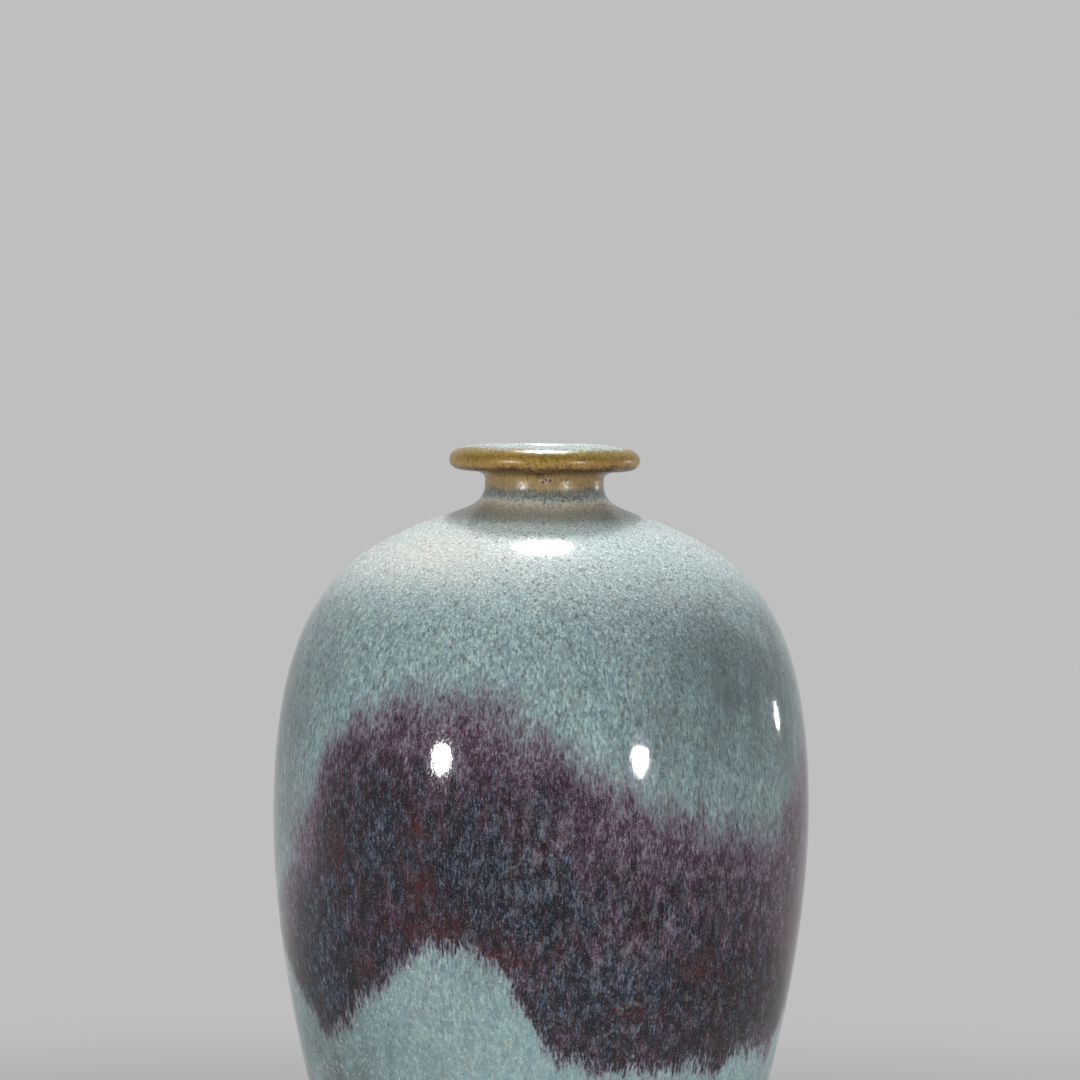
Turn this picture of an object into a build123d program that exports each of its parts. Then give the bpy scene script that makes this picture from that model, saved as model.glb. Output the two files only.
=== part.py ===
from build123d import *
from math import cos, radians, sin
import os

# Meiping vase: a small-mouthed, broad-shouldered stoneware vase. Its clay body is thrown in three
# sections that are joined with slip, coated inside and out with a thick glaze, and splashed with a
# second, copper-bearing glaze that melts into the top of the outer coat.
# Millimetres, +Z up, origin at the middle of the foot's resting face, front of the vase towards -Y.

# Outer shape of the clay, from the foot upwards
FOOT_RADIUS = 47.6
FOOT_LEAN = 21.5          # degrees that the wall leans out from the vertical at the foot
FOOT_FULLNESS = 55.0      # how long the wall keeps that lean
BELLY_HEIGHT = 164.9      # height of the widest circle
BELLY_RADIUS = 84.6
UNDER_BELLY_FULLNESS = 46.0   # how long the wall stays upright below the widest circle
OVER_BELLY_FULLNESS = 72.0    # and above it
SHOULDER_RISE = 94.2      # from the widest circle to the foot of the neck
SHOULDER_TOP_RADIUS = 33.0
SHOULDER_SLOPE = 20.5     # degrees below the horizontal at the foot of the neck
SHOULDER_FULLNESS = 29.7  # how long the shoulder keeps that slope
NECK_RADIUS = 18.2        # at its narrowest
FLARE_RISE = 11.4         # from the foot of the neck up to where it is narrowest
FLARE_NECK_PULL = 7.0     # how long the flare stays upright
FLARE_SHOULDER_PULL = 8.6     # how long it follows the shoulder
NECK_STRAIGHT = 2.1       # upright stretch above the flare
LIP_ROOT = 3.5            # hollow corner between neck and lip
LIP_OVERHANG = 11.5       # how far the lip stands out from the neck
LIP_ROLL = 4.6            # width of the rounded edge under the lip
LIP_UNDERCUT = 2.6        # from the underside of the lip up to its widest circle
LIP_CROWN = 4.2           # from there up to the crown

# Walls
WALL = 5.0                # body wall
FOOT_WALL = 7.0           # thicker towards the foot, to carry the weight
NECK_WALL = 3.8
MOUTH_EDGE = 3.4          # width of the rounded inner edge of the lip
MOUTH_EDGE_DROP = 4.6
THROAT_LENGTH = 13.0      # straight bore below that edge
FLOOR = 12.0              # height of the inside floor
FLOOR_CORNER = 9.0        # height over which the wall turns into the floor
FLOOR_FLAT = 18.0         # how far the floor stays level from the middle

# Foot
FOOT_BEVEL = 1.5
FOOT_RING = 9.0           # width of the ring that the vase stands on
RECESS_DEPTH = 4.5
RECESS_LEAN = 2.0         # how far the recess narrows on its way up

# Seams between the thrown sections
SLIP = 0.8                # thickness of the slip
BELLY_SEAM_DROP = 47.0    # seam below the widest circle
BELLY_SEAM_STEP = 3.0     # the lower section's tongue stands this high inside the upper one
NECK_SEAM_RISE = 2.2      # seam above the foot of the neck
NECK_SPIGOT = 3.0         # the neck reaches this far down into the shoulder opening

# Glazes
GLAZE = 1.3               # body
LIP_GLAZE = 0.8           # it runs thin on the lip and the neck
INNER_GLAZE = 0.8
GLAZE_LINE = 14.0         # the outer coat stops this high above the ground
GLAZE_ROLL = 0.9          # extra thickness of its rolled edge
GLAZE_ROLL_HEIGHT = 5.0
BASE_WASH = 0.3
BASE_WASH_RISE = 1.2      # the wash stops this high above the ground
SPLASH_DEPTH = 0.5        # how deep the copper splash sinks into the coat

# Copper splashes: each is a cloud of overlapping ovals. An oval is given by the direction that it
# faces, in degrees from the front towards the right-hand side, then by the rise of its centre above
# the widest circle, its half width and its half height, all three as shares of the belly's radius,
# and by its tilt in degrees.
FRONT_OVALS = [
    (-60.0, -0.27, 0.26, 0.52, 6.0),
    (-34.0, -0.01, 0.38, 0.50, -12.0),
    (-8.0, -0.01, 0.33, 0.45, 12.0),
    (16.0, -0.32, 0.33, 0.54, 14.0),
    (44.0, -0.39, 0.43, 0.46, 4.0),
    (74.0, -0.32, 0.28, 0.52, -14.0),
    (98.0, -0.15, 0.26, 0.43, 0.0),
]
BACK_OVALS = [
    (176.0, -0.20, 0.28, 0.38, -10.0),
    (198.0, -0.06, 0.35, 0.43, 8.0),
    (224.0, -0.27, 0.31, 0.40, 12.0),
]
SPLASH_CLEAR = 1.0        # room that a pocket is cut with, above the glaze

# How far a rounded corner of the lip reaches towards its square corner
CORNER_FULLNESS = 0.64


# Curves. A curve is four control points in the half plane of the section, radius by height, traced
# from the crown of the lip downwards.

def at(radius, height):
    return Vector(radius, 0, height)


def slant(degrees_below_level):
    """Direction outwards and down, by an angle below the horizontal."""
    return at(cos(radians(degrees_below_level)), -sin(radians(degrees_below_level)))


def to_the_right(direction):
    """Direction square to another one, to its right as the curve is traced."""
    return at(direction.Z, -direction.X)


def turning(near, middle, far):
    """How sharply a curve turns to its left at its first control point."""
    along = middle - near
    onward = far - middle
    return 2 / 3 * (along.X * onward.Z - along.Z * onward.X) / along.length**3


def moved(curve, start_depth, end_depth):
    """The parallel curve, a depth to the right of this one at each end."""
    start, after_start, before_end, end = curve
    start_way = (after_start - start).normalized()
    end_way = (end - before_end).normalized()
    start_scale = 1 + start_depth * turning(start, after_start, before_end)
    end_scale = 1 - end_depth * turning(end, before_end, after_start)
    new_start = start + to_the_right(start_way) * start_depth
    new_end = end + to_the_right(end_way) * end_depth
    return [
        new_start,
        new_start + (after_start - start) * start_scale,
        new_end + (before_end - end) * end_scale,
        new_end,
    ]


def divided(curve, share):
    """The two curves that a curve is cut into at a share of its run."""
    a, b, c, d = curve
    ab = a + (b - a) * share
    bc = b + (c - b) * share
    cd = c + (d - c) * share
    abc = ab + (bc - ab) * share
    bcd = bc + (cd - bc) * share
    cut = abc + (bcd - abc) * share
    return [a, ab, abc, cut], [cut, bcd, cd, d]


def cut_at_height(curve, height):
    """The stretches of a falling curve above and below a height."""
    low = 0.0
    high = 1.0
    for halving in range(50):
        middle = (low + high) / 2
        if divided(curve, middle)[0][3].Z > height:
            low = middle
        else:
            high = middle
    return divided(curve, low)


def radius_at(curve, height):
    return cut_at_height(curve, height)[0][3].X


def quarter_round(start, corner, end):
    """A rounded corner between two points that lie square to it."""
    after_start = start + (corner - start) * CORNER_FULLNESS
    before_end = end + (corner - end) * CORNER_FULLNESS
    return [start, after_start, before_end, end]


def edges(stretches):
    """Edges of an outline: curves of four points and straight lines of two."""
    made = []
    for points in stretches:
        made.append(Bezier(*points) if len(points) == 4 else Line(*points))
    return made


def turned(stretches):
    """The solid that an outline sweeps when it goes once round the axis."""
    return revolve(Face(Wire(edges(stretches))), Axis.Z)


# Heights and radii that follow from the sizes
neck_foot_height = BELLY_HEIGHT + SHOULDER_RISE
waist_height = neck_foot_height + FLARE_RISE
root_height = waist_height + NECK_STRAIGHT
underside_height = root_height + LIP_ROOT
lip_edge_height = underside_height + LIP_UNDERCUT
crown_height = lip_edge_height + LIP_CROWN
lip_radius = NECK_RADIUS + LIP_OVERHANG
throat_radius = NECK_RADIUS - NECK_WALL
crown_radius = throat_radius + MOUTH_EDGE
underside_radius = lip_radius - LIP_ROLL
throat_top = crown_height - MOUTH_EDGE_DROP
throat_bottom = throat_top - THROAT_LENGTH

# Outside of the clay
crown = at(crown_radius, crown_height)
lip_edge = at(lip_radius, lip_edge_height)
underside = at(underside_radius, underside_height)
root = at(NECK_RADIUS, root_height)
waist = at(NECK_RADIUS, waist_height)
neck_foot = at(SHOULDER_TOP_RADIUS, neck_foot_height)
belly = at(BELLY_RADIUS, BELLY_HEIGHT)
foot = at(FOOT_RADIUS, 0)
down = at(0, -1)
foot_way = at(-sin(radians(FOOT_LEAN)), -cos(radians(FOOT_LEAN)))

lip_top = quarter_round(crown, at(lip_radius, crown_height), lip_edge)
lip_roll = quarter_round(lip_edge, at(lip_radius, underside_height), underside)
lip_hollow = quarter_round(underside, at(NECK_RADIUS, underside_height), root)
neck = [root, waist]
flare = [
    waist,
    waist + down * FLARE_NECK_PULL,
    neck_foot - slant(SHOULDER_SLOPE) * FLARE_SHOULDER_PULL,
    neck_foot,
]
shoulder = [
    neck_foot,
    neck_foot + slant(SHOULDER_SLOPE) * SHOULDER_FULLNESS,
    belly - down * OVER_BELLY_FULLNESS,
    belly,
]
lower = [
    belly,
    belly + down * UNDER_BELLY_FULLNESS,
    foot - foot_way * FOOT_FULLNESS,
    foot,
]

# Outside of the glaze
glazed_lip_top = moved(lip_top, -LIP_GLAZE, -LIP_GLAZE)
glazed_lip_roll = moved(lip_roll, -LIP_GLAZE, -LIP_GLAZE)
glazed_lip_hollow = moved(lip_hollow, -LIP_GLAZE, -LIP_GLAZE)
glazed_flare = moved(flare, -LIP_GLAZE, -GLAZE)
glazed_neck = [glazed_lip_hollow[3], glazed_flare[0]]
glazed_shoulder = moved(shoulder, -GLAZE, -GLAZE)
glazed_lower = moved(lower, -GLAZE, -GLAZE)

# Inside of the clay and of the inner glaze
throat_start = at(throat_radius, throat_top)
throat_end = at(throat_radius, throat_bottom)
inner_lip = quarter_round(crown, at(throat_radius, crown_height), throat_start)
inner_shoulder = moved(shoulder, WALL, WALL)
inner_flare = [
    throat_end,
    throat_end + down * FLARE_NECK_PULL,
    inner_shoulder[0] - slant(SHOULDER_SLOPE) * FLARE_SHOULDER_PULL,
    inner_shoulder[0],
]
inner_lower = moved(lower, WALL, FOOT_WALL)


def floor_of(wall_curve, floor_height):
    """Where a wall curve turns into a level floor: the wall above, and the curve to the axis."""
    wall_above, wall_below = cut_at_height(wall_curve, floor_height + FLOOR_CORNER)
    way = (wall_below[1] - wall_below[0]).normalized()
    middle = at(0, floor_height)
    bend = wall_below[0] + way * FLOOR_CORNER
    return wall_above, [wall_below[0], bend, middle + at(FLOOR_FLAT, 0), middle]


inner_wall, inner_floor = floor_of(inner_lower, FLOOR)
inner_clay = [inner_lip, [throat_start, throat_end], inner_flare, inner_shoulder, inner_wall, inner_floor]

bore_lip = moved(inner_lip, LIP_GLAZE, INNER_GLAZE)
bore_flare = moved(inner_flare, INNER_GLAZE, INNER_GLAZE)
bore_shoulder = moved(inner_shoulder, INNER_GLAZE, INNER_GLAZE)
bore_wall, bore_floor = floor_of(moved(inner_lower, INNER_GLAZE, INNER_GLAZE), FLOOR + INNER_GLAZE)
bore = [bore_lip, [bore_lip[3], bore_flare[0]], bore_flare, bore_shoulder, bore_wall, bore_floor]


# Clay

def foot_outline(start):
    """Bevel, standing ring and recess, from the end of the wall to the axis."""
    bevel_end = at(start.X - FOOT_BEVEL, 0)
    ring_end = at(start.X - FOOT_RING, 0)
    recess_corner = at(ring_end.X - RECESS_LEAN, RECESS_DEPTH)
    recess_middle = at(0, RECESS_DEPTH)
    bevel = [start, bevel_end]
    ring = [bevel_end, ring_end]
    slope = [ring_end, recess_corner]
    roof = [recess_corner, recess_middle]
    return [bevel, ring, slope, roof]


wall_to_bevel = cut_at_height(lower, FOOT_BEVEL)[0]
foot_lines = foot_outline(wall_to_bevel[3])
outer_clay = [lip_top, lip_roll, lip_hollow, neck, flare, shoulder, wall_to_bevel]
axis_line = [foot_lines[-1][1], inner_floor[3]]
clay = turned(outer_clay + foot_lines + [axis_line] + inner_clay)


def seam(split_radius, height, step):
    """Slip that fills a stepped seam: level outside, then a step, then level inside."""
    outside = at(BELLY_RADIUS + WALL, height)
    step_outer = at(split_radius + SLIP / 2, height)
    step_inner = at(split_radius - SLIP / 2, height)
    thick = at(0, SLIP)
    climb = at(0, step)
    inside = at(0, height) + climb
    if step > 0:
        lower_corner, upper_corner = step_inner, step_outer
    else:
        lower_corner, upper_corner = step_outer, step_inner
    corners = [
        outside,
        lower_corner,
        lower_corner + climb,
        inside,
        inside + thick,
        upper_corner + climb + thick,
        upper_corner + thick,
        outside + thick,
    ]
    lines = [[a, b] for a, b in zip(corners, corners[1:] + corners[:1])]
    return turned(lines)


def mid_wall(outside, inside, height):
    """Radius of the middle of a wall at a height."""
    return (radius_at(outside, height) + radius_at(inside, height)) / 2


belly_seam_height = BELLY_HEIGHT - BELLY_SEAM_DROP
neck_seam_height = neck_foot_height + NECK_SEAM_RISE
belly_seam = seam(mid_wall(lower, inner_lower, belly_seam_height), belly_seam_height, BELLY_SEAM_STEP)
neck_seam = seam(mid_wall(flare, inner_flare, neck_seam_height), neck_seam_height, -NECK_SPIGOT)
lower_body, upper_body, neck_and_lip = (clay - belly_seam - neck_seam).solids().sort_by(Axis.Z)
belly_seam_slip = clay & belly_seam
neck_seam_slip = clay & neck_seam

# Outer glaze, with a thick rolled edge where it stopped running above the foot
coat_end = cut_at_height(glazed_lower, GLAZE_LINE + GLAZE_ROLL_HEIGHT)[0]
clay_end = cut_at_height(lower, GLAZE_LINE)[0]
run_way = (coat_end[3] - coat_end[2]).normalized()
clay_way = (clay_end[3] - clay_end[2]).normalized()
swell = coat_end[3] + run_way * GLAZE_ROLL_HEIGHT - to_the_right(run_way) * GLAZE_ROLL
tuck = clay_end[3] - to_the_right(clay_way) * (GLAZE + GLAZE_ROLL)
glaze_roll = [coat_end[3], swell, tuck, clay_end[3]]
coat_top = [glazed_lip_top, glazed_lip_roll, glazed_lip_hollow, glazed_neck]
coat_outside = coat_top + [glazed_flare, glazed_shoulder, coat_end, glaze_roll]
coat_inside = [lip_top, lip_roll, lip_hollow, neck, flare, shoulder, clay_end]
crown_line = [crown, glazed_lip_top[0]]
coat = turned(coat_outside + coat_inside + [crown_line])

# Inner glaze
floor_line = [inner_floor[3], bore_floor[3]]
inner_glaze = turned(bore + inner_clay + [[crown, bore_lip[0]], floor_line])

# Brown wash in the recess under the foot, from a little above the ground to the axis
ring_end, recess_corner = foot_lines[2]
wash_start = ring_end + (recess_corner - ring_end) * (BASE_WASH_RISE / RECESS_DEPTH)
inwards = at(-BASE_WASH, 0)
downwards = at(0, -BASE_WASH)
recess_middle = foot_lines[3][1]
wash_corners = [
    wash_start,
    recess_corner,
    recess_middle,
    recess_middle + downwards,
    recess_corner + downwards + inwards,
    wash_start + inwards,
]
base_wash = turned([[a, b] for a, b in zip(wash_corners, wash_corners[1:] + wash_corners[:1])])


# Copper splashes, let into the top of the outer glaze

def skin(rise, depth):
    """Layer along shoulder and lower wall, from a rise above the glaze to a depth in it."""
    above = [moved(glazed_shoulder, -rise, -rise), moved(glazed_lower, -rise, -rise)]
    below = [moved(glazed_shoulder, depth, depth), moved(glazed_lower, depth, depth)]
    ends = [[above[0][0], below[0][0]], [above[1][3], below[1][3]]]
    return turned(above + below + ends)


def oval(facing, rise, half_width, half_height, tilt):
    """Oval bar that runs level, from inside the neck's radius out past the glaze."""
    across = (cos(radians(facing)), sin(radians(facing)), 0)
    out = Vector(sin(radians(facing)), -cos(radians(facing)), 0)
    plane = Plane(origin=out * NECK_RADIUS, x_dir=across, z_dir=out)
    centre = Pos(0, BELLY_HEIGHT + rise * BELLY_RADIUS)
    ellipse = Ellipse(half_width * BELLY_RADIUS, half_height * BELLY_RADIUS)
    outline = centre * Rot(0, 0, tilt) * ellipse
    past_glaze = BELLY_RADIUS + GLAZE + 2 * SPLASH_CLEAR
    return extrude(plane * outline, past_glaze - NECK_RADIUS)


def cloud(ovals):
    """Solid that the oval bars of one splash make together."""
    bars = [oval(*sizes) for sizes in ovals]
    return bars[0].fuse(*bars[1:])


splash_layer = skin(0, SPLASH_DEPTH)
pocket_layer = skin(SPLASH_CLEAR, SPLASH_DEPTH)
front_cloud = cloud(FRONT_OVALS)
back_cloud = cloud(BACK_OVALS)
front_splash = splash_layer & front_cloud
back_splash = splash_layer & back_cloud
outer_glaze = coat - (pocket_layer & front_cloud) - (pocket_layer & back_cloud)

# Write one file for each piece
nodes = {
    "lower_body": lower_body,
    "upper_body": upper_body,
    "neck_and_lip": neck_and_lip,
    "belly_seam_slip": belly_seam_slip,
    "neck_seam_slip": neck_seam_slip,
    "outer_glaze": outer_glaze,
    "inner_glaze": inner_glaze,
    "base_wash": base_wash,
    "front_splash": front_splash,
    "back_splash": back_splash,
}
os.makedirs("parts", exist_ok=True)
for name, shape in nodes.items():
    export_step(shape, f"parts/{name}.step")

bore_radius = throat_radius - INNER_GLAZE
print(f"height {crown_height + LIP_GLAZE:.2f}, widest {2 * (BELLY_RADIUS + GLAZE):.2f}")
print(f"bore radius {bore_radius:.2f}, from {throat_bottom:.2f} to {throat_top:.2f}")
print(f"standing ring from radius {ring_end.X:.2f} to {foot_lines[0][1].X:.2f}")
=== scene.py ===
# %% [markdown]
# # A meiping vase in streaked blue glaze
# The CAD model gives the vase as plain solids: three clay sections, the slip in their seams, a glaze
# coat outside and inside, and the copper splashes. This lesson keeps the clay as it is and dresses it:
# the coats get the small unevenness of a hand-made pot, and each surface gets its finish.
# The scene is in metres, +Z is up, and the front of the vase looks along -Y. Sections are drawn in
# millimetres and become metres when they are spun.

# %% Load the fixed frame
import math

import bmesh
import bpy
import numpy as np
from mathutils import Matrix, Vector, noise
from mathutils.geometry import interpolate_bezier


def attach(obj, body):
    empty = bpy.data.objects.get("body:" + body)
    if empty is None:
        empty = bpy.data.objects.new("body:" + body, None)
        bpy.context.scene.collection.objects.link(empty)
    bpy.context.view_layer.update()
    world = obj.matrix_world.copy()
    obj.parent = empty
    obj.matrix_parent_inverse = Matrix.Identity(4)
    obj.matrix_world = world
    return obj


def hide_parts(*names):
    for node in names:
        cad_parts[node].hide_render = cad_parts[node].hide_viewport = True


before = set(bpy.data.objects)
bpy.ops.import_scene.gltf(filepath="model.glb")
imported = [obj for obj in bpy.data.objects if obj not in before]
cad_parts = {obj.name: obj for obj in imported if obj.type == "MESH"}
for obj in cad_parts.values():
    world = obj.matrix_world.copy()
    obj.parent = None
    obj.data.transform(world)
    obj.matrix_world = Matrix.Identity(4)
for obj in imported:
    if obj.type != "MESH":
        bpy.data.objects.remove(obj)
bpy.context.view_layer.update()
print("CAD nodes:", ", ".join(sorted(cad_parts)))

# %% [markdown]
# ## The clay's outline
# A potter pulls the wall up on a wheel, so half of its section says everything about the shape: a lip
# that turns over, a short hollow neck, a broad shoulder and a long wall that narrows to the foot.
# The section could be traced point by point, but the wall would come out bumpy. A few stretches of
# Bezier curve, each with a knot and a pull at both ends, stay smooth and need one size for each knot.

# %% Knots of the clay outline, as radius and height in millimetres
CROWN = Vector((17.8, 282.9))
LIP_EDGE = Vector((29.7, 278.7))
LIP_UNDERSIDE = Vector((25.1, 276.1))
NECK_TOP = Vector((18.2, 272.6))
NECK_WAIST = Vector((18.2, 270.5))
NECK_FOOT = Vector((33.0, 259.1))
BELLY = Vector((84.6, 164.9))
FOOT = Vector((47.6, 0.0))
print("Clay height in mm:", round(CROWN.y, 2))

# %% Directions and pulls of the curves between the knots
UP = Vector((0, 1))
SHOULDER_SLOPE = math.radians(20.5)
FOOT_LEAN = math.radians(21.5)
SHOULDER_WAY = Vector((math.cos(SHOULDER_SLOPE), -math.sin(SHOULDER_SLOPE)))
FOOT_WAY = Vector((math.sin(FOOT_LEAN), math.cos(FOOT_LEAN)))
FLARE_NECK_PULL = 7.0
FLARE_SHOULDER_PULL = 8.6
SHOULDER_PULL = 29.7
OVER_BELLY_PULL = 72.0
UNDER_BELLY_PULL = 46.0
FOOT_PULL = 55.0
CORNER_FULLNESS = 0.64


def rounded(start, corner, end, steps):
    """A rounded corner between two knots, with pulls towards the square corner."""
    after = start.lerp(corner, CORNER_FULLNESS)
    before = end.lerp(corner, CORNER_FULLNESS)
    return interpolate_bezier(start, after, before, end, steps)


# %% Lip and neck, from the crown downwards
LIP_TOP_STEPS = 18
LIP_ROLL_STEPS = 14
LIP_HOLLOW_STEPS = 12
FLARE_STEPS = 18
NECK_ROWS = (0.25, 0.5, 0.75)
lip_top = rounded(CROWN, Vector((LIP_EDGE.x, CROWN.y)), LIP_EDGE, LIP_TOP_STEPS)
lip_roll = rounded(LIP_EDGE, Vector((LIP_EDGE.x, LIP_UNDERSIDE.y)), LIP_UNDERSIDE, LIP_ROLL_STEPS)
lip_hollow = rounded(LIP_UNDERSIDE, Vector((NECK_TOP.x, LIP_UNDERSIDE.y)), NECK_TOP, LIP_HOLLOW_STEPS)
neck_wall = [NECK_TOP.lerp(NECK_WAIST, share) for share in NECK_ROWS]
flare = interpolate_bezier(
    NECK_WAIST, NECK_WAIST - UP * FLARE_NECK_PULL,
    NECK_FOOT - SHOULDER_WAY * FLARE_SHOULDER_PULL, NECK_FOOT, FLARE_STEPS)

# %% Shoulder and wall, and the outline as one chain of points
SHOULDER_STEPS = 72
WALL_STEPS = 104
shoulder = interpolate_bezier(
    NECK_FOOT, NECK_FOOT + SHOULDER_WAY * SHOULDER_PULL, BELLY + UP * OVER_BELLY_PULL, BELLY, SHOULDER_STEPS)
lower_wall = interpolate_bezier(
    BELLY, BELLY - UP * UNDER_BELLY_PULL, FOOT + FOOT_WAY * FOOT_PULL, FOOT, WALL_STEPS)
outline = lip_top + lip_roll[1:] + lip_hollow[1:] + neck_wall + flare + shoulder[1:] + lower_wall[1:]
wall_heights = [point.y for point in reversed(lower_wall)]
wall_radii = [point.x for point in reversed(lower_wall)]


def clay_radius(height):
    """Radius of the clay below the belly at a height, both in millimetres."""
    return float(np.interp(height, wall_heights, wall_radii))


print("Outline points:", len(outline))

# %% [markdown]
# ## The coat of glaze
# The real coat is a skin of melted glass. It runs thin over the lip, lies a little over a millimetre
# thick on the body, and stops above the foot in a thick rolled edge, where it froze while it ran.
# Solidify would give one even thickness. Here each point of the clay's outline is pushed out by its
# own thickness instead, the chain is closed along the clay, and a full spin turns it into a shell.

# %% Thickness of the coat along the outline, in millimetres
LIP_GLAZE = 0.8
BODY_GLAZE = 1.3
GLAZE_LINE = 14.0
ROLL_EXTRA = 0.8
ROLL_REACH = 8.0
ROLL_TURN = 2.2


def glaze_thickness(point):
    """Millimetres of glaze over a point of the clay's outline."""
    if point.x < NECK_FOOT.x and point.y > NECK_FOOT.y:
        share = min(1.0, max(0.0, (NECK_WAIST.y - point.y) / (NECK_WAIST.y - NECK_FOOT.y)))
        return LIP_GLAZE + (BODY_GLAZE - LIP_GLAZE) * share
    above_line = max(0.0, point.y - GLAZE_LINE)
    swell = max(0.0, 1 - above_line / ROLL_REACH)
    turn = min(1.0, above_line / ROLL_TURN)
    return (BODY_GLAZE + ROLL_EXTRA * swell * swell) * math.sqrt(turn * (2 - turn))


# %% Push the outline out to the surface of the glaze
OUTSIDE = 1
INSIDE = -1


def pushed(clay, thickness, side):
    """Points of a clay line, each moved square to the line by the glaze that lies on it."""
    moved = []
    for place, point in enumerate(clay):
        before = clay[max(place - 1, 0)]
        after = clay[min(place + 1, len(clay) - 1)]
        along = (after - before).normalized()
        moved.append(point + Vector((-along.y, along.x)) * side * thickness(point))
    return moved


glazed_clay = [point for point in outline if point.y > GLAZE_LINE]
glazed_clay.append(Vector((clay_radius(GLAZE_LINE), GLAZE_LINE)))
surface = pushed(glazed_clay, glaze_thickness, OUTSIDE)
surface[0] = CROWN + UP * LIP_GLAZE
print("Glazed points:", len(surface), "widest radius:", round(max(point.x for point in surface), 2))

# %% [markdown]
# ## Spinning a section
# Both coats are shells of revolution, so one helper draws a closed section as a loop of edges and
# spins it. Before the spin each vertex notes how far along the section it lies. Spin copies that note,
# so it later tells the surface from the hidden side, and lays the coat out flat for its picture map.

# %% Helper that spins a closed section into a shell
MM = 0.001
HIDDEN_STRIP = 0.06
HIDDEN_USED = 0.9
MERGE_DISTANCE = 1e-6


def spun_shell(name, shown, hidden, turns):
    """Shell from the shown side of a section and its hidden side, both from the crown downwards."""
    shell = bmesh.new()
    along = shell.verts.layers.float.new("along")
    ring = []
    lengths = np.cumsum([0.0] + [(b - a).length for a, b in zip(shown, shown[1:])])
    for point, length in zip(shown, lengths):
        vertex = shell.verts.new((point.x * MM, 0, point.y * MM))
        vertex[along] = HIDDEN_STRIP + (1 - HIDDEN_STRIP) * (1 - length / lengths[-1])
        ring.append(vertex)
    back = list(reversed(hidden))
    for place, point in enumerate(back):
        vertex = shell.verts.new((point.x * MM, 0, point.y * MM))
        vertex[along] = HIDDEN_STRIP * HIDDEN_USED * place / len(back)
        ring.append(vertex)
    for first, second in zip(ring, ring[1:] + ring[:1]):
        shell.edges.new((first, second))
    bmesh.ops.spin(
        shell, geom=shell.verts[:] + shell.edges[:], cent=(0, 0, 0), axis=(0, 0, 1),
        angle=2 * math.pi, steps=turns, use_merge=True, use_duplicate=False)
    bmesh.ops.remove_doubles(shell, verts=shell.verts, dist=MERGE_DISTANCE)
    bmesh.ops.recalc_face_normals(shell, faces=shell.faces)
    print(name, "faces:", len(shell.faces))
    return shell, along


# %% Helper that lays a shell out on its map, shades it and hands it to the frame
MAP_NAME = "OFBake"
SHARP_ANGLE = math.radians(45)


def azimuth_of(place):
    """Angle round the axis, 0 at the front and growing towards the right-hand side."""
    return math.atan2(place.x, -place.y)


def finished_piece(name, shell, along, finish, slot_name, *nodes):
    """Makes an object from a shell, which takes the place of some CAD nodes."""
    flat = shell.loops.layers.uv.new(MAP_NAME)
    for face in shell.faces:
        face.smooth = True
        middle = azimuth_of(face.calc_center_median())
        for corner in face.loops:
            turn = azimuth_of(corner.vert.co) - middle
            turn = (turn + math.pi) % (2 * math.pi) - math.pi
            corner[flat].uv = (0.5 + (middle + turn) / (2 * math.pi), corner.vert[along])
    for edge in shell.edges:
        edge.smooth = edge.calc_face_angle(0.0) < SHARP_ANGLE
    mesh = bpy.data.meshes.new(name)
    shell.to_mesh(mesh)
    shell.free()
    mesh.materials.append(finish)
    piece = bpy.data.objects.new(name, mesh)
    bpy.context.scene.collection.objects.link(piece)
    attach(piece, "root")
    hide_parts(*nodes)
    print(name, "triangles:", sum(len(face.vertices) - 2 for face in mesh.polygons))


# %% Spin the outer coat
COAT_TURNS = 288
HIDDEN_EVERY = 4
hidden_side = glazed_clay[::HIDDEN_EVERY]
if hidden_side[-1] is not glazed_clay[-1]:
    hidden_side = hidden_side + [glazed_clay[-1]]
coat, coat_along = spun_shell("outer coat", surface[:-1], hidden_side, COAT_TURNS)

# %% [markdown]
# ## The hand in the glaze
# A wheel leaves a faint spiral in the wall, and a thick glaze pools over it, so highlights on the real
# coat waver. On the neck a bubble burst and left a pit. Near the foot the glaze ran: its edge hangs
# lower in some places, in heavy drops. A texture could only pretend that, so the vertices move: a spiral
# of a hundredth of a millimetre and slow waves of a fifth of one on the shown side, a dent in the neck,
# and a lower edge that slides along the clay wall by a few millimetres.

# %% Ripple of the throwing spiral and slow waves in the glaze, in metres
RIPPLE = 0.000014
RIPPLE_RISE = 0.0095
WAVE = 0.00018
WAVE_SIZE = 0.045
WAVE_SINK = 0.35
NECK_FADE = 0.02


def ripple_at(place):
    """Metres that the surface stands out at a place, for the spiral and the pooled glaze."""
    spiral = math.sin(2 * math.pi * place.z / RIPPLE_RISE + azimuth_of(place))
    wave = noise.noise(place / WAVE_SIZE)
    below_neck = min(1.0, max(0.0, (NECK_FOOT.y * MM - place.z) / NECK_FADE))
    return (RIPPLE * spiral + WAVE * wave - WAVE * WAVE_SINK) * below_neck


for vertex in coat.verts:
    if vertex[coat_along] >= HIDDEN_STRIP:
        level = vertex.co.xy.normalized()
        vertex.co.xy += level * ripple_at(vertex.co)

# %% A pit in the neck's glaze: where it faces, then its height and spread in millimetres
PIT_FACING = math.radians(1.0)
PIT_HEIGHT = 272.7
PIT_WIDE = 2.2
PIT_TALL = 1.1
PIT_REACH = 4.0
PIT_DEPTH = 0.00032


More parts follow.
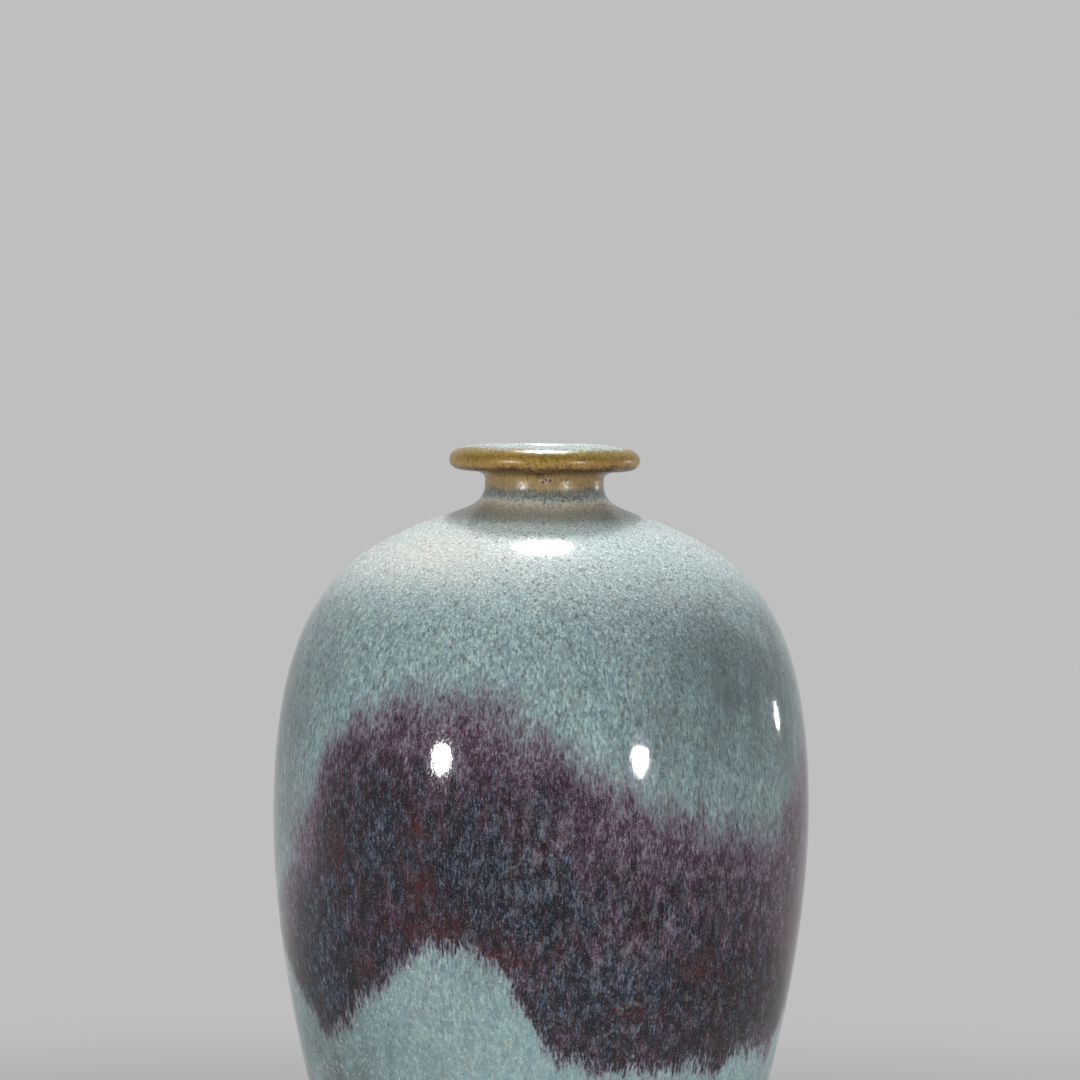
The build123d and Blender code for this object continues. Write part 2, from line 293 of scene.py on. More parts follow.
def pit_share(place):
    """How deep in the pit a place lies, from 0 to 1."""
    if place.z < (PIT_HEIGHT - PIT_REACH) * MM or place.xy.length > LIP_UNDERSIDE.x * MM:
        return 0.0
    aside = (azimuth_of(place) - PIT_FACING) * NECK_WAIST.x
    return math.exp(-(aside / PIT_WIDE) ** 2 - ((place.z / MM - PIT_HEIGHT) / PIT_TALL) ** 2)


pit = coat.verts.layers.float.new("pit")
for vertex in coat.verts:
    vertex[pit] = pit_share(vertex.co)
    if vertex[coat_along] >= HIDDEN_STRIP:
        vertex.co.xy -= vertex.co.xy.normalized() * PIT_DEPTH * vertex[pit]
print("Deepest note of the pit:", round(max(vertex[pit] for vertex in coat.verts), 2))

# %% How far the lower edge hangs. A drop has a facing in degrees, a hang in mm and a width in degrees
EDGE_SWAY = 0.0035
EDGE_LUMPS = 1.7
EDGE_SLICE = 0.3
DROPS = (
    (-128, 4.5, 9), (-74, 3.0, 7), (-31, 4.0, 8), (12, 2.6, 7), (58, 4.6, 9), (101, 3.2, 6), (160, 4.0, 8),
)


def edge_drop(angle):
    """Metres that the glaze's lower edge hangs below its mean line, by angle round the foot."""
    circle = Vector((math.sin(angle), math.cos(angle), EDGE_SLICE)) * EDGE_LUMPS
    drop = EDGE_SWAY * noise.noise(circle)
    for facing, hang, width in DROPS:
        away = (math.degrees(angle) - facing + 180) % 360 - 180
        drop += hang * MM * math.exp(-(away / width) ** 2)
    return drop


# %% Slide the lower edge along the clay, thicker where it hangs
EDGE_REACH = 0.050
DROP_SWELL = 90
for vertex in coat.verts:
    rise = vertex.co.z - GLAZE_LINE * MM
    if rise < EDGE_REACH:
        share = 1 - max(0.0, rise) / EDGE_REACH
        drop = edge_drop(azimuth_of(vertex.co)) * share * share
        radius = vertex.co.xy.length
        stand = radius - clay_radius(vertex.co.z / MM) * MM
        vertex.co.z -= drop
        swelling = 1 + DROP_SWELL * max(0.0, drop)
        vertex.co.xy *= (clay_radius(vertex.co.z / MM) * MM + stand * swelling) / radius
print("Lowest glaze in mm:", round(1000 * min(vertex.co.z for vertex in coat.verts), 2))

# %% [markdown]
# ## Where the copper went
# The purple clouds were splashed on: a copper wash that melts into the blue and bleeds upwards and
# downwards along the streaks. Its feathered look belongs to the finish, but its place belongs to the
# surface. So each vertex gets two notes: how far it lies below the splash's upper edge, and how far
# above its lower edge. Both are positive only inside. More notes say where other tones gathered: red,
# ink, plum, indigo, lilac and pale curdled marks in the copper, cream in the blue, and grey in the
# blue, which is partly thin glaze and partly painted shade on the sides and low on the left.

# %% Edges of the splashes: degrees round from the front, and height in millimetres
UPPER_EDGE = (
    (-88, 130), (-79, 138), (-70, 147), (-64, 154), (-57, 172), (-52, 193), (-45, 201), (-37, 206),
    (-25, 210), (-13, 208), (-5, 202), (4, 194), (12, 187), (21, 179), (35, 172), (49, 168), (60, 165),
    (67, 179), (75, 192), (84, 195), (90, 186), (97, 187), (103, 172), (108, 166), (112, 150), (114, 142),
    (119, 115), (149, 115), (154, 142), (160, 160), (169, 167), (178, 181), (187, 188), (195, 183),
    (203, 191), (211, 187), (221, 171), (231, 168), (239, 156), (246, 138), (251, 115), (268, 110),
)
LOWER_EDGE = (
    (-88, 130), (-81, 122), (-75, 120), (-65, 106), (-57, 98), (-48, 104), (-37, 118), (-24, 132),
    (-13, 130), (-4, 116), (0, 104), (5, 97), (14, 93), (24, 93), (41, 92), (60, 94), (72, 95), (78, 103),
    (84, 99), (90, 112), (96, 109), (102, 122), (108, 121), (112, 136), (114, 142), (119, 165), (149, 165),
    (154, 142), (162, 130), (170, 121), (178, 117), (186, 120), (194, 112), (203, 108), (212, 111),
    (222, 105), (232, 113), (240, 126), (246, 138), (251, 165), (268, 160),
)


def edge_height(edge, degrees):
    """Height of a splash edge at an angle, in millimetres, going round without a break."""
    angles, heights = zip(*edge)
    return np.interp(degrees, angles, heights, period=360)


# %% Pools of other tones: degrees round from the front, height in mm, spread in degrees and mm
POOLS = {
    "red": (
        (-27, 168, 4, 6), (-26, 150, 5, 9), (-47, 160, 3, 8), (-42, 124, 5, 6), (-24, 137, 10, 5),
        (-8, 129, 10, 5), (37, 124, 8, 5), (20, 112, 7, 5), (70, 132, 8, 10), (188, 150, 9, 7),
        (207, 131, 7, 6),
    ),
    "ink": (
        (-43, 166, 15, 24), (-58, 116, 18, 34), (-12, 152, 20, 20), (34, 112, 34, 12), (188, 150, 20, 16),
    ),
    "plum": (
        (30, 166, 30, 9), (64, 163, 14, 14), (-22, 197, 24, 10), (88, 150, 20, 30), (202, 172, 20, 14),
    ),
    "curdle": (
        (14, 140, 20, 22), (-2, 160, 14, 16), (34, 150, 16, 12), (28, 110, 20, 10), (200, 140, 20, 16),
    ),
    # Grey pools: partly thin glaze, partly painted shade where the light falls off on the sides and low on
    # the left.
    "grey": (
        (46, 210, 26, 28), (66, 206, 17, 36), (-57, 88, 30, 24), (-84, 205, 24, 42), (150, 205, 30, 34),
    ),
    "cream": ((-42, 250, 36, 9),),
    "indigo": (
        (-35, 165, 5, 12), (-14, 158, 9, 12), (-54, 128, 10, 16), (14, 122, 14, 10), (2, 146, 9, 12),
        (214, 150, 12, 14),
    ),
    "lilac": ((-62, 161, 8, 12), (159, 152, 7, 12)),
}


def pooled(pools, degrees, height):
    """How much of a tone gathered at a place, from 0 to 1."""
    most = 0.0
    for facing, level, wide, tall in pools:
        aside = (degrees - facing + 180) % 360 - 180
        most = max(most, math.exp(-(aside / wide) ** 2 - ((height - level) / tall) ** 2))
    return most


# %% Note edges and pools on the coat's vertices
below_upper = coat.verts.layers.float.new("below_upper_edge")
above_lower = coat.verts.layers.float.new("above_lower_edge")
pool_notes = {name: coat.verts.layers.float.new(name) for name in POOLS}
for vertex in coat.verts:
    degrees = math.degrees(azimuth_of(vertex.co))
    height = vertex.co.z / MM
    vertex[below_upper] = edge_height(UPPER_EDGE, degrees) - height
    vertex[above_lower] = height - edge_height(LOWER_EDGE, degrees)
    for name, pools in POOLS.items():
        vertex[pool_notes[name]] = pooled(pools, degrees, height)
splashed = sum(min(vertex[below_upper], vertex[above_lower]) > 0 for vertex in coat.verts)
print("Share of the coat's vertices under copper:", round(splashed / len(coat.verts), 2))

# %% [markdown]
# ## Tools for mixing finishes
# Each finish is a node tree. These helpers add a few nodes each, so that a finish can be read like a
# recipe: a tint, a speckle of some size, a soft step from one height to another, a wash of one colour
# over another. Every pattern reads Object coordinates, so it stays put when the vase is turned.

# %% Helpers for numbers in a node tree
def feed(tree, socket, value):
    """Links an output to a socket, or sets the socket to a plain value."""
    if isinstance(value, bpy.types.NodeSocket):
        tree.links.new(value, socket)
    else:
        socket.default_value = value


def sum_of(tree, operation, first, second):
    """One step of arithmetic."""
    step = tree.nodes.new("ShaderNodeMath")
    step.operation = operation
    feed(tree, step.inputs[0], first)
    feed(tree, step.inputs[1], second)
    return step.outputs[0]


def plus(tree, first, second):
    """Sum of two numbers."""
    return sum_of(tree, "ADD", first, second)


def minus(tree, first, second):
    """What is left of a number when another is taken off."""
    return sum_of(tree, "SUBTRACT", first, second)


def times(tree, first, second):
    """Product of two numbers."""
    return sum_of(tree, "MULTIPLY", first, second)


def growing(tree, least, extra, share):
    """The least amount, and an extra that grows with a share."""
    return plus(tree, least, times(tree, share, extra))


def centred(tree, pattern, reach):
    """A pattern made to swing about nothing, by a reach."""
    return times(tree, minus(tree, pattern, 0.5), reach)


def soft_step(tree, value, low, high):
    """0 up to the low bound, 1 from the high bound, and a smooth rise between them."""
    step = tree.nodes.new("ShaderNodeMapRange")
    step.interpolation_type = "SMOOTHSTEP"
    feed(tree, step.inputs["Value"], value)
    step.inputs["From Min"].default_value = low
    step.inputs["From Max"].default_value = high
    return step.outputs["Result"]


# %% Helpers for colours in a node tree
def tint(red_part, green_part, blue_part):
    """Colour read off a swatch, 0 to 255, as the linear numbers that a shader takes."""
    linear = []
    for part in (red_part, green_part, blue_part):
        share = part / 255
        linear.append(share / 12.92 if share <= 0.04045 else ((share + 0.055) / 1.055) ** 2.4)
    return (*linear, 1.0)


def layer(tree, share, under, over):
    """Two colours, with a share of the second over the first. The sockets 6, 7 and 2 are for colour."""
    mix = tree.nodes.new("ShaderNodeMix")
    mix.data_type = "RGBA"
    feed(tree, mix.inputs[0], share)
    feed(tree, mix.inputs[6], under)
    feed(tree, mix.inputs[7], over)
    return mix.outputs[2]


def wash(tree, under, over, where, amount):
    """Lays a colour over another where a pattern says, by an amount."""
    return layer(tree, times(tree, where, amount), under, over)


def shades(tree, share, stops):
    """Colour that runs through a row of (share, tint) stops."""
    ramp = tree.nodes.new("ShaderNodeValToRGB")
    marks = ramp.color_ramp.elements
    marks[0].position, marks[0].color = stops[0]
    marks[1].position, marks[1].color = stops[-1]
    for position, colour in stops[1:-1]:
        marks.new(position).color = colour
    tree.links.new(share, ramp.inputs[0])
    return ramp.outputs["Color"]


# %% Helpers for patterns and notes
def places(tree, stretch=(1, 1, 1), shift=(0, 0, 0)):
    """Object coordinates, stretched and shifted."""
    source = tree.nodes.new("ShaderNodeTexCoord")
    mapping = tree.nodes.new("ShaderNodeMapping")
    mapping.inputs["Scale"].default_value = stretch
    mapping.inputs["Location"].default_value = shift
    tree.links.new(source.outputs["Object"], mapping.inputs["Vector"])
    return mapping.outputs["Vector"]


def height_of(tree):
    """Height above the foot, in metres."""
    split = tree.nodes.new("ShaderNodeSeparateXYZ")
    tree.links.new(places(tree), split.inputs[0])
    return split.outputs["Z"]


def speckle(tree, size, stretch=(1, 1, 1), shift=(0, 0, 0), detail=2.0, roughness=0.5, swirl=0.0):
    """Cloudy noise whose lumps are about a size in metres, drawn out where a stretch is under 1."""
    cloud = tree.nodes.new("ShaderNodeTexNoise")
    tree.links.new(places(tree, stretch, shift), cloud.inputs["Vector"])
    cloud.inputs["Scale"].default_value = 1 / size
    cloud.inputs["Detail"].default_value = detail
    cloud.inputs["Roughness"].default_value = roughness
    cloud.inputs["Distortion"].default_value = swirl
    return cloud.outputs[0]


DOT_CORE = 0.4


def dots(tree, cell, dot, share):
    """1 in small round dots: a share of the cells holds one, of a radius given in cells."""
    scatter = tree.nodes.new("ShaderNodeTexVoronoi")
    scatter.inputs["Scale"].default_value = 1 / cell
    tree.links.new(places(tree), scatter.inputs["Vector"])
    draw = tree.nodes.new("ShaderNodeSeparateColor")
    tree.links.new(scatter.outputs["Color"], draw.inputs[0])
    chosen = sum_of(tree, "LESS_THAN", draw.outputs[0], share)
    return times(tree, chosen, soft_step(tree, scatter.outputs["Distance"], dot, dot * DOT_CORE))


def note(tree, name):
    """A number that the mesh's vertices carry."""
    reader = tree.nodes.new("ShaderNodeAttribute")
    reader.attribute_name = name
    return reader.outputs["Fac"]


# %% Helpers that start a finish and give it relief
def new_finish(name):
    """A material with an empty recipe, its tree and its shader."""
    finish = bpy.data.materials.new(name)
    finish.use_nodes = True
    return finish, finish.node_tree, finish.node_tree.nodes["Principled BSDF"]


def paint(tree, shader, colour, roughness):
    """Gives a shader its colour and its roughness."""
    feed(tree, shader.inputs["Base Color"], colour)
    feed(tree, shader.inputs["Roughness"], roughness)


def relief(tree, shader, height, depth, strength):
    """Fine relief on a shader, from a pattern and the depth in metres that it stands for."""
    bump = tree.nodes.new("ShaderNodeBump")
    feed(tree, bump.inputs["Strength"], strength)
    bump.inputs["Distance"].default_value = depth
    tree.links.new(height, bump.inputs["Height"])
    tree.links.new(bump.outputs["Normal"], shader.inputs["Normal"])


# %% [markdown]
# ## The streaked blue
# The glaze separates as it melts: pale opal drops and clearer grey-blue glass run down side by side.
# On the upright wall that draws streaks under a millimetre wide and a few long, on the flat shoulder
# only a round grain. Noise whose height is squeezed does both at once, because a streak that runs along
# Z is seen end-on from the shoulder. A painted map of streaks would have to be bent over the shoulder.
# Each pattern is noted once, as a named grain.

# %% Grains and tints of the blue
BLUE_STREAK = dict(size=0.0008, stretch=(1, 1, 0.30), detail=4.0, roughness=0.72)
SLOW_STREAK = dict(size=0.0034, stretch=(1, 1, 0.35), shift=(0.31, 0.17, 0.05))
SLOW_POOL = dict(size=0.030, stretch=(1, 1, 0.5))
HUE_DRIFT = dict(size=0.0042, stretch=(1, 1, 0.45), shift=(0.6, 0.3, 0.8), detail=4.0, roughness=0.7)
SAND = dict(size=0.0009, stretch=(1, 1, 0.6), shift=(0.4, 0.6, 0.1), detail=3.0, roughness=0.7)
SAND_DRIFT = dict(size=0.012, stretch=(1, 1, 0.7), shift=(0.8, 0.5, 0.2))
SLATE = tint(118, 134, 150)
SEA_GREEN = tint(140, 166, 158)
SANDY = tint(174, 165, 145)
BLUES = (
    (0.34, tint(92, 110, 111)),
    (0.46, tint(117, 141, 144)),
    (0.54, tint(134, 162, 165)),
    (0.66, tint(178, 203, 202)),
)


def blue_streaks(tree):
    """Colour of the blue glaze: streaks, slow pools, drifts of hue and a little sand."""
    slow = centred(tree, speckle(tree, **SLOW_STREAK), 0.22)
    pool = centred(tree, speckle(tree, **SLOW_POOL), 0.14)
    blue = shades(tree, plus(tree, speckle(tree, **BLUE_STREAK), plus(tree, slow, pool)), BLUES)
    drift = speckle(tree, **HUE_DRIFT)
    blue = wash(tree, blue, SLATE, soft_step(tree, drift, 0.50, 0.66), 0.42)
    blue = wash(tree, blue, SEA_GREEN, soft_step(tree, drift, 0.48, 0.34), 0.36)
    sand = plus(tree, speckle(tree, **SAND), centred(tree, speckle(tree, **SAND_DRIFT), 0.30))
    return wash(tree, blue, SANDY, soft_step(tree, sand, 0.57, 0.71), 0.55)


# %% Runs low on the wall, and grey places: partly thin glaze, partly painted shade
LOW_DOWN = (0.135, 0.095)
RUNNEL = dict(size=0.0050, stretch=(1, 1, 0.25), shift=(0.9, 0.7, 0.4), detail=3.0, roughness=0.6)
THIN_AND_SHADED_PLACE = dict(size=0.010, stretch=(1, 1, 0.5), shift=(0.2, 0.9, 0.7), detail=4.0, roughness=0.65)
AQUA = tint(156, 190, 191)
DEEP_AQUA = tint(106, 144, 154)
THIN_GREY_AND_SHADE = tint(78, 92, 96)


def runs_thin_places_and_shade(tree, colour, height):
    """Clearer blue with darker runnels low down, and grey where the coat is thin and where shade is painted
    on the sides.
    """
    low_down = soft_step(tree, height, *LOW_DOWN)
    colour = wash(tree, colour, AQUA, low_down, 0.34)
    runnel = times(tree, soft_step(tree, speckle(tree, **RUNNEL), 0.50, 0.64), low_down)
    colour = wash(tree, colour, DEEP_AQUA, runnel, 0.42)
    thin = soft_step(tree, speckle(tree, **THIN_AND_SHADED_PLACE), 0.14, 0.64)
    return wash(tree, colour, THIN_GREY_AND_SHADE, times(tree, note(tree, "grey"), thin), 0.92)


# %% Dashes and grains over the blue: olive where it is thin, pale where opal drops gathered, and a pale shoulder top that is partly painted light
SHOULDER = (0.214, 0.254)
LIT_PALE_TOP = (0.228, 0.257)
ABOVE_BELLY = (0.105, 0.165)
BELOW_BELLY = (0.160, 0.110)
DASH = dict(size=0.0013, stretch=(1, 1, 0.42), shift=(0.1, 0.7, 0.3))
LOW_DOT = dict(size=0.0011, stretch=(1, 1, 0.9), shift=(0.5, 0.3, 0.9), detail=1.0)
FROST = dict(size=0.0006, stretch=(1, 1, 0.7), shift=(0.9, 0.2, 0.4), detail=3.0, roughness=0.8)
LIT_PALE_BLUE = tint(192, 209, 209)
OLIVE = tint(82, 88, 82)
OATMEAL = tint(204, 200, 180)
BLUE_GREY = tint(112, 132, 136)
FROST_WHITE = tint(234, 238, 235)
CREAM = tint(236, 226, 210)


def dashes_and_grains(tree, colour, height, creamy):
    """Olive dashes above the belly, cream dots below, a pale shoulder top and pale grains thick on the
    shoulder: partly opal drops, partly painted light.
    """
    on_shoulder = soft_step(tree, height, *SHOULDER)
    # Painted light in part: the shoulder's top and its white grains are made paler where the light from above
    # falls on it.
    colour = wash(tree, colour, LIT_PALE_BLUE, soft_step(tree, height, *LIT_PALE_TOP), 0.72)
    dash = soft_step(tree, speckle(tree, **DASH), 0.56, 0.68)
    colour = wash(tree, colour, OLIVE, dash, growing(tree, 0.12, 0.54, soft_step(tree, height, *ABOVE_BELLY)))
    dot = soft_step(tree, speckle(tree, **LOW_DOT), 0.60, 0.70)
    colour = wash(tree, colour, OATMEAL, times(tree, dot, soft_step(tree, height, *BELOW_BELLY)), 0.40)
    frost = speckle(tree, **FROST)
    grain = soft_step(tree, frost, 0.52, 0.62)
    gap = soft_step(tree, frost, 0.48, 0.38)
    colour = wash(tree, colour, BLUE_GREY, gap, times(tree, on_shoulder, 0.62))
    colour = wash(tree, colour, FROST_WHITE, grain, growing(tree, 0.08, 0.72, on_shoulder))
    return wash(tree, colour, CREAM, creamy, growing(tree, 0.24, 0.7, grain))


# %% [markdown]
# ## Lip and neck
# Glaze runs off an edge, so on the lip it is thin and the iron in the clay shows through: olive-gold on
# the rounded edge, tan under it and on the neck, and pale again on the level crown and in a band at
# the foot of the neck, where it gathered. Height alone tells these zones apart; a little noise on the
# height breaks up the borders. A dark band where the lip's roll meets the neck is painted shade: the
# shadow in the hollow under the lip.

# %% Tones of the lip and the neck by height in metres, with a painted shade under the lip
LIP_NECK_AND_SHADE = (
    (0.2570, tint(100, 108, 106)),
    (0.2610, tint(117, 112, 98)),
    (0.2635, tint(180, 172, 150)),
    (0.2658, tint(210, 208, 194)),
    (0.2674, tint(112, 126, 128)),
    (0.2690, tint(105, 111, 105)),
    (0.2706, tint(156, 134, 92)),
    (0.2744, tint(158, 130, 80)),
    # Painted shade: the dark stop in the hollow under the lip, where the lip's roll meets the neck.
    (0.2756, tint(46, 30, 16)),
    (0.2765, tint(104, 78, 42)),
    (0.2774, tint(160, 128, 72)),
    (0.2788, tint(162, 128, 58)),
    (0.2802, tint(126, 99, 16)),
    (0.2830, tint(134, 113, 38)),
)
ZONE_LOW = 0.2560
ZONE_HIGH = 0.2840


def zone(height):
    """A height as a share of the lip and neck zone."""
    return (height - ZONE_LOW) / (ZONE_HIGH - ZONE_LOW)


LIP_STOPS_AND_SHADE = [(zone(height), colour) for height, colour in LIP_NECK_AND_SHADE]
NECK_GRAINY = (zone(0.2715), zone(0.2670))
THIN_FROM = (zone(0.2580), zone(0.2650))
THIN_UP_TO = (zone(0.2837), zone(0.2823))
print("Stops on the lip and neck:", len(LIP_STOPS_AND_SHADE))

# %% The thin glaze of the lip and the neck
ROUGH_BORDER = dict(size=0.0010, stretch=(1, 1, 0.6), detail=3.0, roughness=0.65)
SLOW_BORDER = dict(size=0.012, shift=(0.4, 0.1, 0.2))
LIP_STREAK = dict(size=0.0008, stretch=(1, 1, 0.4), shift=(0.6, 0.2, 0.7), detail=3.0, roughness=0.7)
NECK_GRAIN = dict(size=0.00045, shift=(0.2, 0.8, 0.3), detail=1.0)
DARK_OLIVE = tint(66, 48, 24)
STRAW = tint(198, 174, 120)
DARK_CLAY = tint(70, 66, 54)
PALE_CLAY = tint(206, 202, 186)


def lip_and_neck(tree, colour, height):
    """Lays the thin glaze of lip and neck over the blue, with a painted shade under the lip, and tells how
    thin it is.
    """
    rough = centred(tree, speckle(tree, **ROUGH_BORDER), 0.0040)
    slow = centred(tree, speckle(tree, **SLOW_BORDER), 0.0036)
    swayed = plus(tree, height, plus(tree, rough, slow))
    share = sum_of(tree, "DIVIDE", minus(tree, swayed, ZONE_LOW), ZONE_HIGH - ZONE_LOW)
    thin = shades(tree, share, LIP_STOPS_AND_SHADE)
    streak = speckle(tree, **LIP_STREAK)
    thin = wash(tree, thin, DARK_OLIVE, soft_step(tree, streak, 0.50, 0.36), 0.5)
    thin = wash(tree, thin, STRAW, soft_step(tree, streak, 0.53, 0.68), 0.28)
    grain = speckle(tree, **NECK_GRAIN)
    low = soft_step(tree, share, *NECK_GRAINY)
    thin = wash(tree, thin, DARK_CLAY, soft_step(tree, grain, 0.46, 0.32), growing(tree, 0.12, 0.4, low))
    thin = wash(tree, thin, PALE_CLAY, soft_step(tree, grain, 0.56, 0.70), growing(tree, 0.06, 0.45, low))
    thinness = times(tree, soft_step(tree, share, *THIN_FROM), soft_step(tree, share, *THIN_UP_TO))
    return layer(tree, thinness, colour, thin), thinness


# %% [markdown]
# ## The copper splash
# Inside the splash the copper turns the glaze aubergine, nearly black in the middle and plum at the rim,
# with pale streaks that still run through it and a few blushes of red. The depth that the vertices
# carry is roughened by streaky noise before it is cut off, so the border breaks up into fine flames.

# %% Share of the copper, and how near its heart a place lies. Reaches and bounds are in millimetres
FLAME = dict(size=0.0009, stretch=(1, 1, 0.22), detail=3.0, roughness=0.7)
CURL = dict(size=0.010, stretch=(1, 1, 0.6), detail=3.0)
CURL_ABOVE = 22.0
CURL_BELOW = -16.0
FLAME_ABOVE = 42.0
FLAME_BELOW = 26.0


def copper_share(tree):
    """Lilac haze round the splash, share of the copper itself, and share of its dark heart."""
    flame = speckle(tree, **FLAME)
    curl = speckle(tree, **CURL)
    below = plus(tree, note(tree, "below_upper_edge"), centred(tree, curl, CURL_ABOVE))
    above = plus(tree, note(tree, "above_lower_edge"), centred(tree, curl, CURL_BELOW))
    haze = times(tree, soft_step(tree, below, -9.0, 6.0), soft_step(tree, above, -4.0, 4.0))
    torn_below = plus(tree, below, centred(tree, flame, FLAME_ABOVE))
    torn_above = plus(tree, above, centred(tree, flame, FLAME_BELOW))
    veil = times(tree, soft_step(tree, torn_below, -5.0, 12.0), soft_step(tree, torn_above, -2.5, 3.5))
    heart = times(tree, soft_step(tree, torn_below, 6.0, 24.0), soft_step(tree, torn_above, -2.0, 4.0))
    return haze, veil, heart


# %% Grains and tints of the copper
COPPER_STREAK = dict(size=0.0006, stretch=(1, 1, 0.28), shift=(0.2, 0.5, 0.1), detail=4.0, roughness=0.72)
COPPER_CLOUD = dict(size=0.0034, stretch=(1, 1, 0.6), shift=(0.8, 0.1, 0.3), detail=4.0, roughness=0.68)
COPPER_GRAIN = dict(size=0.00030, stretch=(1, 1, 0.8), shift=(0.3, 0.3, 0.6), detail=1.0)
DARK_PATCH = dict(size=0.0036, stretch=(1, 1, 0.34), shift=(0.7, 0.4, 0.9), detail=4.0, roughness=0.70)
HUE_PATCH = dict(size=0.0030, stretch=(1, 1, 0.34), shift=(0.1, 0.9, 0.5), detail=4.0, roughness=0.70)
PLUMS = (
    (0.34, tint(36, 8, 29)),
    (0.46, tint(67, 38, 62)),
    (0.54, tint(90, 67, 90)),
    (0.66, tint(134, 127, 138)),
)
INKS = (
    (0.34, tint(3, 0, 1)),
    (0.46, tint(24, 3, 15)),
    (0.54, tint(40, 18, 32)),
    (0.66, tint(86, 79, 90)),
)
INDIGOS = (
    (0.34, tint(0, 0, 5)),
    (0.46, tint(10, 12, 29)),
    (0.54, tint(32, 39, 60)),
    (0.66, tint(98, 112, 128)),
)


# %% Plum at the rim of the splash, ink and indigo in its heart
def plum_and_ink(tree, heart):
    """Colour of the copper glaze, streaked like the blue that it melted into."""
    streak = centred(tree, speckle(tree, **COPPER_STREAK), 1.00)
    cloud = centred(tree, speckle(tree, **COPPER_CLOUD), 0.50)
    grain = centred(tree, speckle(tree, **COPPER_GRAIN), 0.40)
    tone = plus(tree, 0.5, plus(tree, plus(tree, streak, cloud), grain))
    lean = minus(tree, note(tree, "ink"), note(tree, "plum"))
    patch = plus(tree, speckle(tree, **DARK_PATCH), times(tree, lean, 0.22))
    hue = plus(tree, speckle(tree, **HUE_PATCH), times(tree, note(tree, "indigo"), 0.16))
    blueness = soft_step(tree, hue, 0.46, 0.60)
    dark = layer(tree, blueness, shades(tree, tone, INKS), shades(tree, tone, INDIGOS))
    return wash(tree, shades(tree, tone, PLUMS), dark, heart, soft_step(tree, patch, 0.32, 0.60))


# %% Red where the copper was reduced, and pale curdled dabs
MAROON_PATCH = dict(size=0.0024, stretch=(1, 1, 0.5), shift=(0.3, 0.8, 0.2), detail=4.0, roughness=0.72)
EMBER = dict(size=0.0013, stretch=(1, 1, 0.6), shift=(0.5, 0.5, 0.6), detail=4.0, roughness=0.75)
DAB = dict(size=0.0027, stretch=(1, 1, 0.6), detail=5.0, roughness=0.74, swirl=0.5)
MAROON = tint(50, 14, 21)
EMBER_RED = tint(108, 33, 28)
CURDLE_GREY = tint(120, 124, 127)


def reds_and_curdles(tree, colour, heart):
    """Lays maroon patches, a few red embers and the pale dabs over the copper."""
    blush = note(tree, "red")
    maroon = plus(tree, speckle(tree, **MAROON_PATCH), times(tree, blush, 0.20))
    colour = wash(tree, colour, MAROON, times(tree, soft_step(tree, maroon, 0.54, 0.70), heart), 0.62)
    ember = plus(tree, speckle(tree, **EMBER), times(tree, blush, 0.10))
    ember = times(tree, soft_step(tree, ember, 0.58, 0.72), soft_step(tree, blush, 0.25, 0.90))
    colour = wash(tree, colour, EMBER_RED, ember, 0.50)
    dab = soft_step(tree, speckle(tree, **DAB), 0.51, 0.66)
    return wash(tree, colour, CURDLE_GREY, dab, growing(tree, 0.10, 0.5, note(tree, "curdle")))


# %% Lilac where the copper lies thin, and the whole splash
LILAC_STREAK = dict(size=0.0007, stretch=(1, 1, 0.30), shift=(0.5, 0.1, 0.4), detail=4.0, roughness=0.72)
LILACS = (
    (0.36, tint(58, 28, 52)),
    (0.48, tint(100, 78, 99)),
    (0.64, tint(160, 154, 164)),
)


def copper_splash(tree, colour):
    """Lays haze and copper over the blue."""
    haze, veil, heart = copper_share(tree)
    lilac = shades(tree, speckle(tree, **LILAC_STREAK), LILACS)
    copper = reds_and_curdles(tree, plum_and_ink(tree, heart), heart)
    colour = wash(tree, colour, lilac, haze, 0.46)
    colour = layer(tree, veil, colour, copper)
    return wash(tree, colour, lilac, note(tree, "lilac"), 0.6)


# %% [markdown]
# ## The outer coat's finish
# The layers go on from the lowest up: blue, runs, grains, copper, then the thin glaze of the lip, the
# burst bubble, specks of iron, and white specks that are painted glints. Gloss follows the same zones:
# the body is glassy, lip and neck are duller, and the frosted shoulder sparkles, because its grains are
# rougher than the glass between them. One even gloss would make the pot look like plastic.

# %% Fine grain and the burst bubble
FINE_GRAIN = dict(size=0.00042, stretch=(1, 1, 0.8), shift=(0.15, 0.35, 0.55), roughness=0.7)
SPLINTERS = dict(size=0.0008, stretch=(1, 1, 0.8), shift=(0.7, 0.2, 0.1), detail=4.0, roughness=0.75)
PALE_GRAIN = tint(196, 194, 182)
DARK_GRAIN = tint(30, 30, 36)
BURST_BROWN = tint(54, 32, 36)
# The pink glints are painted highlights.
PINK_GLINT = tint(206, 186, 188)


def fine_grains(tree, colour):
    """Lays the finest pale and dark grains over blue and copper alike."""
    fine = speckle(tree, **FINE_GRAIN)
    colour = wash(tree, colour, PALE_GRAIN, soft_step(tree, fine, 0.57, 0.71), 0.24)
    return wash(tree, colour, DARK_GRAIN, soft_step(tree, fine, 0.43, 0.29), 0.52)


def burst_bubble(tree, colour):
    """Dark splinters in and about the pit on the neck, and pale glints there that are painted highlights."""
    splinters = speckle(tree, **SPLINTERS)
    burst = plus(tree, note(tree, "pit"), centred(tree, splinters, 2.4))
    colour = wash(tree, colour, BURST_BROWN, soft_step(tree, burst, 0.42, 0.78), 0.85)
    near = soft_step(tree, note(tree, "pit"), 0.15, 0.45)
    return wash(tree, colour, PINK_GLINT, times(tree, soft_step(tree, splinters, 0.46, 0.38), near), 0.7)


